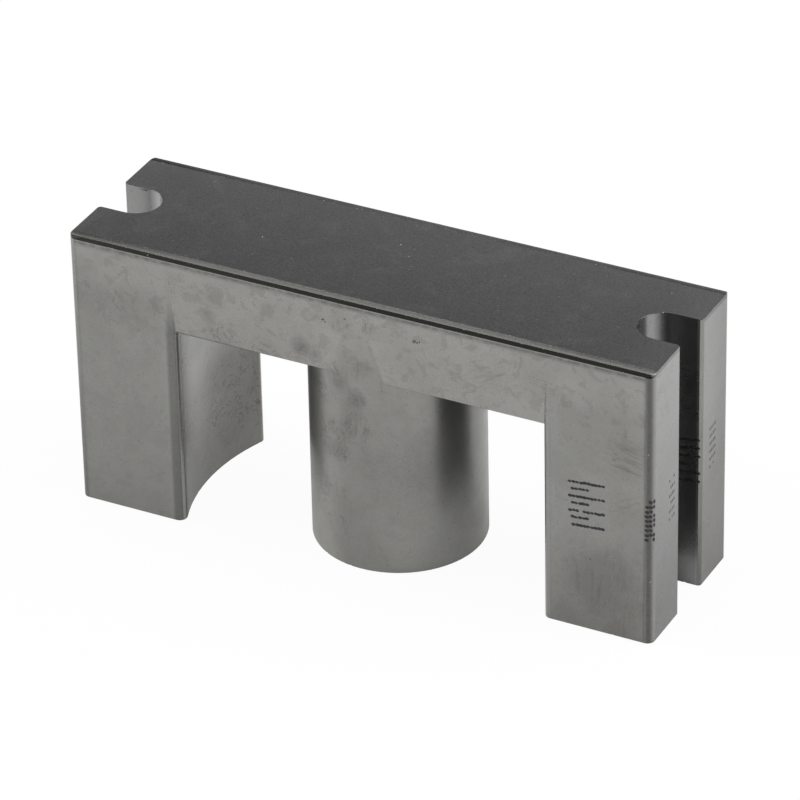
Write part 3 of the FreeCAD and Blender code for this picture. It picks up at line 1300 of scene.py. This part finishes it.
def is_facet_foot(edge):
    """Whether an edge is the lower edge of the steep facet along the back."""
    middle = (edge.verts[0].co + edge.verts[1].co) / 2
    level = abs(edge.verts[0].co.z - edge.verts[1].co.z) < 0.2
    side = abs(abs(middle.y) - HALF_WIDTH) < 0.002
    high = FOOT_LEVELS[0] < middle.z < FOOT_LEVELS[1]
    return level and side and high and edge.calc_face_angle(0) > FOOT_STEP


def is_facet_ridge(edge):
    """Whether an edge bounds the shallow facet along the back."""
    kinds = [face.material_index for face in edge.link_faces]
    return SHALLOW in kinds and edge.calc_face_angle(0) > FACET_STEP


def soften(core, edges, width):
    """Break the sharp edges with a narrow rounding."""
    bmesh.ops.bevel(
        core,
        geom=edges,
        offset=width,
        offset_type="OFFSET",
        segments=2,
        profile=0.5,
        affect="EDGES",
        clamp_overlap=False,
        material=WORN,
    )
    for corner in core.verts:
        for axis in range(3):
            corner.co[axis] = min(max(corner.co[axis], CORE_LOW[axis]), CORE_HIGH[axis])


def stones_at(places, material):
    """Chips and pits that sit at single places, as one mesh of rough stones."""
    stones = bmesh.new()
    for index, (x, y, z, radius) in enumerate(places):
        turn = Matrix.Rotation(STONE_TURN * index, 4, STONE_AXIS)
        matrix = Matrix.Translation((x, y, z)) @ turn @ Matrix.Diagonal(STONE_SHAPE)
        bmesh.ops.create_icosphere(stones, subdivisions=2, radius=radius, matrix=matrix)
    mesh = bpy.data.meshes.new("placed_chips")
    stones.to_mesh(mesh)
    stones.free()
    mesh.materials.append(material)
    return mesh


def joined(name, meshes):
    """One object of several meshes, which keep their materials."""
    materials = []
    whole = bmesh.new()
    for part in meshes:
        done = len(whole.faces)
        whole.from_mesh(part)
        whole.faces.ensure_lookup_table()
        for face in whole.faces[done:]:
            material = part.materials[face.material_index]
            if material not in materials:
                materials.append(material)
            face.material_index = materials.index(material)
        bpy.data.meshes.remove(part)
    mesh = bpy.data.meshes.new(name)
    whole.to_mesh(mesh)
    whole.free()
    for material in materials:
        mesh.materials.append(material)
    return link_object(name, mesh)


def is_sharp(edge):
    """Whether the shading breaks at an edge."""
    if len(edge.link_faces) != 2:
        return True
    angle = edge.calc_face_angle(0)
    kinds = {face.material_index for face in edge.link_faces}
    if FRACTURE in kinds:
        return len(kinds) > 1 or angle > CHIP_RIDGE
    if WORN in kinds:
        return angle > SHARP_CORNER
    run = (edge.verts[1].co - edge.verts[0].co).normalized()
    low = max(corner.co.z for corner in edge.verts) < YOKE_UNDERSIDE + 0.3
    if abs(run.z) > 0.98 or (abs(run.x) > 0.98 and low):
        return angle > CURVE_STEP
    return angle > CREASE


def shade_core(mesh):
    """Smooth the curved faces, keep the creases, and let the large faces lead the normals."""
    core = bmesh.new()
    core.from_mesh(mesh)
    for face in core.faces:
        face.smooth = True
    for edge in core.edges:
        edge.smooth = not is_sharp(edge)
    core.to_mesh(mesh)
    core.free()
    holder = link_object("shading_helper", mesh)
    weights = holder.modifiers.new("Face Weights", "WEIGHTED_NORMAL")
    weights.keep_sharp = True
    weights.mode = "FACE_AREA"
    shaded = evaluated_mesh(holder)
    drop_object(holder)
    return shaded


def off_round(place, centre, radius):
    """How far a place is from an upright round surface."""
    return abs(math.hypot(abs(place.x) - centre[0], abs(place.y) - centre[1]) - radius)


def away_from(place, centre, side):
    """The level direction at a place away from the axis of a round surface, or towards it."""
    x = math.copysign(abs(place.x) - centre[0], place.x * (abs(place.x) - centre[0]))
    y = math.copysign(abs(place.y) - centre[1], place.y * (abs(place.y) - centre[1]))
    return (Vector((x, y, 0.0)) * side).normalized()


def follow_rounds(mesh):
    """Turn the shading of the round surfaces true, also where chips have broken the mesh up."""
    normals = [Vector(corner.vector) for corner in mesh.corner_normals]
    for face in mesh.polygons:
        if face.material_index == FRACTURE or abs(face.normal.z) > LEAN:
            continue
        for centre, radius, side, top in ROUNDS:
            if face.center.z > top or off_round(face.center, centre, radius) > NEAR_ROUND:
                continue
            for corner in face.loop_indices:
                place = mesh.vertices[mesh.loops[corner].vertex_index].co
                outward = away_from(place, centre, side)
                on_round = off_round(place, centre, radius) < ON_ROUND
                if on_round and outward.dot(face.normal) > FIT:
                    normals[corner] = outward
    mesh.normals_split_custom_set(normals)


def cut_stones(core_object, stones):
    """Take the stones out of the core."""
    cut = core_object.modifiers.new("Chips", "BOOLEAN")
    cut.operation = "DIFFERENCE"
    cut.solver = "EXACT"
    cut.use_self = True
    cut.material_mode = "TRANSFER"
    cut.object = stones
    mesh = evaluated_mesh(core_object)
    core_object.modifiers.remove(cut)
    return mesh


class FERRITE_OT_core(Operator):
    """Build the core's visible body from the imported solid, with worn edges, chips and pits"""

    bl_idname = "ferrite.core"
    bl_label = "Build Core"

    def execute(self, context):
        settings = context.scene.ferrite_core_settings
        materials = core_materials(context.scene.ferrite_finish_settings)
        fracture = materials["fracture"]
        core = clean_core()
        mark_faces(core)
        corners = [e for e in core.edges if e.is_convex and e.calc_face_angle(0) > SHARP_CORNER]
        feet = [e for e in core.edges if is_facet_foot(e)]
        corner_wire = wire_of(corners, "sharp_edges")
        foot_wire = wire_of(feet, "facet_feet")
        ridge_wire = wire_of([e for e in core.edges if is_facet_ridge(e)], "facet_ridges")
        soften(core, corners, millimetres(settings.edge_softening))
        mesh = bpy.data.meshes.new("core_blank")
        core.to_mesh(mesh)
        core.free()
        for name in SLOT_FINISHES:
            mesh.materials.append(materials[name])
        blank = link_object("core_blank", mesh)

        chips_tree = edge_chips_tree()
        pits_tree = surface_pits_tree()
        along_edges = {
            "Spacing": millimetres(settings.chip_spacing),
            "Share": settings.chip_share,
            "Smallest": millimetres(settings.smallest_chip),
            "Largest": millimetres(settings.largest_chip),
            "Stand Off": 0.55,
            "Seed": settings.seed,
            "Material": fracture,
        }
        foot_chips = {"Spacing": 0.22, "Share": 0.6, "Largest": 0.07, "Stand Off": 0.75}
        ridge_chips = {"Spacing": 0.30, "Share": 0.45, "Largest": 0.05, "Stand Off": 0.6}
        over_faces = {
            "Density": settings.pit_density,
            "Smallest": 0.02,
            "Largest": 0.075,
            "Stand Off": 0.45,
            "Seed": settings.seed + 1,
            "Material": fracture,
        }
        stones = joined(
            "stones",
            [
                grow(corner_wire, chips_tree, along_edges),
                grow(foot_wire, chips_tree, {**along_edges, **foot_chips}),
                grow(ridge_wire, chips_tree, {**along_edges, **ridge_chips}),
                grow(blank, pits_tree, over_faces),
                stones_at(PLACED_CHIPS, fracture),
            ],
        )
        chipped = cut_stones(blank, stones)
        shaded = shade_core(chipped)
        follow_rounds(shaded)
        for helper in (corner_wire, foot_wire, ridge_wire, blank, stones):
            drop_object(helper)

        # The core is narrower by the ink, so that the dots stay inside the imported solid's box
        ink = millimetres(context.scene.ferrite_print_settings.ink_thickness)
        room = [(side - ink) / side for side in (HALF_LENGTH, HALF_WIDTH)]
        shaded.transform(Matrix.Diagonal((room[0] * MM, room[1] * MM, MM, 1.0)))
        shaded.name = "fired_core"
        fired = link_object("fired_core", shaded)
        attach(fired, BODY)
        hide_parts(CORE_NODE)
        return {"FINISHED"}


class FERRITE_OT_print(Operator):
    """Print plain strokes of ink dots on the right leg and its end"""

    bl_idname = "ferrite.print"
    bl_label = "Print Dots"

    def execute(self, context):
        settings = context.scene.ferrite_print_settings
        fired = bpy.data.objects["fired_core"]
        target_mesh = fired.data.copy()
        target_mesh.transform(Matrix.Scale(1 / MM, 4))
        target = link_object("print_target", target_mesh)
        seat = link_object("print_seat", bpy.data.meshes.new("print_seat"))
        tree = printed_dots_tree()
        inks = {
            "ink": bpy.data.materials["printing_ink"],
            "thin_ink": bpy.data.materials["thin_printing_ink"],
        }
        prints = []
        for index, (*patch, ink) in enumerate(PRINT_PATCHES.values()):
            values = {
                **dict(zip(PATCH_INPUTS, patch)),
                "Surface": target,
                "Ink Thickness": millimetres(settings.ink_thickness),
                "Spread": millimetres(settings.dot_spread),
                "Seed": settings.seed + index,
                "Material": inks[ink],
            }
            prints.append(grow(seat, tree, values))
        dots = joined("ink_dots", prints)
        dots.data.transform(Matrix.Scale(MM, 4))
        for helper in (target, seat):
            drop_object(helper)
        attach(dots, BODY)
        return {"FINISHED"}


class FERRITE_OT_studio(Operator):
    """Set the pale floor, the soft lamps, the surroundings and the camera"""

    bl_idname = "ferrite.studio"
    bl_label = "Set Studio"

    def execute(self, context):
        settings = context.scene.ferrite_studio_settings
        lay_floor(settings)
        light_surroundings(context.scene)
        hang_lamp("left_lamp", LEFT_LAMP_PLACE, settings.left_lamp)
        hang_lamp("right_lamp", RIGHT_LAMP_PLACE, settings.right_lamp)
        set_camera(context.scene, settings)
        context.scene.view_settings.view_transform = "Standard"
        return {"FINISHED"}


def lay_floor(settings):
    """A large pale floor under the core."""
    half = settings.floor_size / 2
    mesh = bpy.data.meshes.new("floor")
    corners = [(-half, -half, 0), (half, -half, 0), (half, half, 0), (-half, half, 0)]
    mesh.from_pydata(corners, [], [(0, 1, 2, 3)])
    material = bpy.data.materials.new("pale_floor")
    material.use_nodes = True
    tree = material.node_tree
    inputs = {"Base Color": (*settings.floor_colour, 1.0), "Roughness": 1.0}
    inputs["Specular IOR Level"] = 0.0
    shader = feed(tree, tree.nodes["Principled BSDF"], inputs)
    path = node(tree, "ShaderNodeLightPath")
    direct = math_node(tree, "MULTIPLY", path.outputs["Is Camera Ray"], settings.floor_white)
    mirrored = math_node(tree, "MULTIPLY", path.outputs["Is Glossy Ray"], settings.reflected_white)
    share = math_node(tree, "MAXIMUM", direct, mirrored)
    white = node(tree, "ShaderNodeEmission", {"Color": (1.0, 1.0, 1.0, 1.0), "Strength": 1.0})
    inputs = {0: share, 1: shader.outputs[0], 2: white.outputs[0]}
    shown = node(tree, "ShaderNodeMixShader", inputs)
    tree.links.new(shown.outputs[0], tree.nodes["Material Output"].inputs["Surface"])
    mesh.materials.append(material)
    link_object("floor", mesh)


def light_surroundings(scene):
    """White round the picture, and for the object a dim studio with a bright ceiling."""
    world = bpy.data.worlds.new("studio")
    world.use_nodes = True
    scene.world = world
    tree = world.node_tree
    direction = node(tree, "ShaderNodeTexCoord")
    parts = node(tree, "ShaderNodeSeparateXYZ", {"Vector": direction.outputs["Generated"]})
    height = node(tree, "ShaderNodeMapRange", {"Value": parts.outputs["Z"], "From Min": -1.0})
    gradient = node(tree, "ShaderNodeValToRGB", {"Fac": height.outputs["Result"]})
    elements = gradient.color_ramp.elements
    while len(elements) < len(SKY_LEVELS):
        elements.new(0.5)
    for element, (position, level) in zip(elements, SKY_LEVELS):
        element.position = position
        element.color = (level, level, level, 1.0)
    camera_ray = node(tree, "ShaderNodeLightPath").outputs["Is Camera Ray"]
    shown = mix_colour(tree, camera_ray, gradient.outputs["Color"], (1.0,) * 3)
    feed(tree, tree.nodes["Background"], {"Color": shown, "Strength": 1.0})


def hang_lamp(name, place, irradiance):
    """A distant soft lamp that shines from a place towards the core."""
    lamp = bpy.data.lights.new(name, "SUN")
    lamp.energy = irradiance
    lamp.angle = LAMP_WIDTH
    made = bpy.data.objects.new(name, lamp)
    made.location = place
    made.rotation_euler = Vector(place).to_track_quat("Z", "Y").to_euler()
    bpy.context.scene.collection.objects.link(made)


def set_camera(scene, settings):
    """The camera at the picture's viewing angle."""
    azimuth = settings.camera_azimuth
    elevation = settings.camera_elevation
    back = Vector((
        math.sin(azimuth) * math.cos(elevation),
        -math.cos(azimuth) * math.cos(elevation),
        math.sin(elevation),
    ))
    level = Vector((math.cos(azimuth), math.sin(azimuth), 0.0))
    upright = back.cross(level)
    roll = settings.camera_roll
    right = math.cos(roll) * level + math.sin(roll) * upright
    up = back.cross(right)
    target = Vector((0.0, 0.0, AIM_HEIGHT)) + right * AIM_ACROSS + up * AIM_UP
    camera = bpy.data.cameras.new("camera")
    camera.lens = settings.camera_lens
    camera.sensor_width = SENSOR_WIDTH
    camera.clip_start = 0.01
    camera.clip_end = 20.0
    made = bpy.data.objects.new("camera", camera)
    made.matrix_world = Matrix.Translation(target + back * settings.camera_distance) @ Matrix((
        (right.x, up.x, back.x, 0.0),
        (right.y, up.y, back.y, 0.0),
        (right.z, up.z, back.z, 0.0),
        (0.0, 0.0, 0.0, 1.0),
    ))
    scene.collection.objects.link(made)
    scene.camera = made


class FERRITE_PT_panel(Panel):
    """Buttons and sizes of the ferrite core"""

    bl_idname = "FERRITE_PT_panel"
    bl_label = "Ferrite Core Half"
    bl_space_type = "VIEW_3D"
    bl_region_type = "UI"
    bl_category = "Ferrite Core"

    def draw(self, context):
        for operator in (FERRITE_OT_core, FERRITE_OT_print, FERRITE_OT_studio):
            self.layout.operator(operator.bl_idname)
        for name in SETTINGS:
            settings = getattr(context.scene, name)
            box = self.layout.box()
            for key in settings.__annotations__:
                box.prop(settings, key)


SETTINGS = {
    "ferrite_core_settings": CoreSettings,
    "ferrite_finish_settings": FinishSettings,
    "ferrite_print_settings": PrintSettings,
    "ferrite_studio_settings": StudioSettings,
}
CLASSES = (
    *SETTINGS.values(),
    FERRITE_OT_core,
    FERRITE_OT_print,
    FERRITE_OT_studio,
    FERRITE_PT_panel,
)


def register():
    for item in CLASSES:
        bpy.utils.register_class(item)
    for name, kind in SETTINGS.items():
        setattr(bpy.types.Scene, name, PointerProperty(type=kind))


def unregister():
    for name in SETTINGS:
        delattr(bpy.types.Scene, name)
    for item in reversed(CLASSES):
        bpy.utils.unregister_class(item)


def main():
    register()
    bpy.ops.ferrite.studio()
    bpy.ops.ferrite.core()
    bpy.ops.ferrite.print()


if __name__ == "__main__":
    main()
